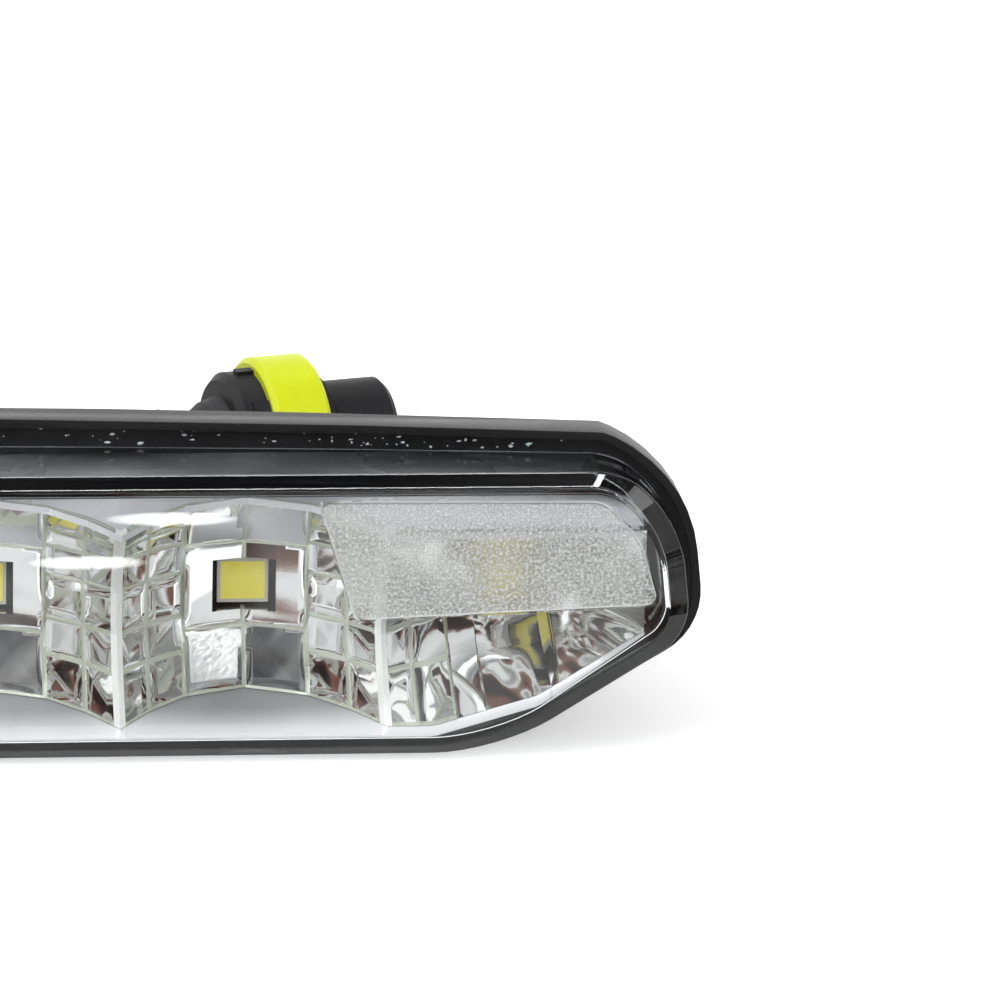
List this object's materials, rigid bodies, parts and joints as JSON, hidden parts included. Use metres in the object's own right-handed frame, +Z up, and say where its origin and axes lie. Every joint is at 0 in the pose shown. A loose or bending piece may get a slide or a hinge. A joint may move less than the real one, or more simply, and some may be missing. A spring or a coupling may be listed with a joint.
{
  "type": "daytime running light",
  "caption": "Slim vehicle running light: clear lens over a faceted reflector and a row of LEDs, black housing with rear bracket inserts, short cable with sealed plug.",
  "frame": {"origin": "centre of the lamp's footprint box without its cable, on the surface that it stands on", "axes": "+X along the lamp to its right end seen from the front, +Y to the back, +Z up"},
  "size_m": [0.1628, 0.0783, 0.0248],
  "materials": {
    "housing_plastic": "fine spark-eroded texture",
    "clear_lens": "clear polycarbonate, glossy",
    "sealant": "glossy black sealant",
    "reflector_chrome": "vacuum metallised",
    "board_dark": "dark solder mask",
    "thermal_pad": "soft silicone",
    "aluminium": "satin",
    "steel_screw": "zinc plated",
    "board_green": "green solder mask",
    "component_black": "moulded epoxy",
    "brass": "bright",
    "vent_plastic": "plain",
    "black_rubber": "matte",
    "red_insulation": "smooth",
    "black_insulation": "smooth",
    "cable_jacket": "satin jacket",
    "connector_plastic": "satin",
    "lime_collar": "satin silicone",
    "led_package": "white ceramic",
    "phosphor": "silicone over phosphor"
  },
  "bodies": {
    "root": {"rear_housing": "housing_plastic", "front_lens": "clear_lens", "sealant_bead": "sealant", "reflector": "reflector_chrome", "led_board": "board_dark", "thermal_pad": "thermal_pad", "heat_spreader": "aluminium", "board_screws": "steel_screw", "driver_board": "board_green", "driver_screws": "steel_screw", "driver_inductor": "component_black", "driver_capacitor": "aluminium", "driver_chip": "component_black", "driver_diode": "component_black", "board_pins": "brass", "vent_plug": "vent_plastic", "cable_grommet": "black_rubber", "bracket_inserts": "brass", "lead_red": "red_insulation", "lead_black": "black_insulation", "cord": "cable_jacket", "connector_boot": "black_rubber", "connector_body": "connector_plastic", "connector_collar": "lime_collar", "connector_nose": "connector_plastic", "contact_sleeves": "brass", "led_1": "led_package", "led_2": "led_package", "led_3": "led_package", "led_4": "led_package", "led_5": "led_package", "led_6": "led_package", "led_7": "led_package", "led_8": "led_package", "phosphor_1": "phosphor", "phosphor_2": "phosphor", "phosphor_3": "phosphor", "phosphor_4": "phosphor", "phosphor_5": "phosphor", "phosphor_6": "phosphor", "phosphor_7": "phosphor", "phosphor_8": "phosphor"}
  },
  "joints": []
}
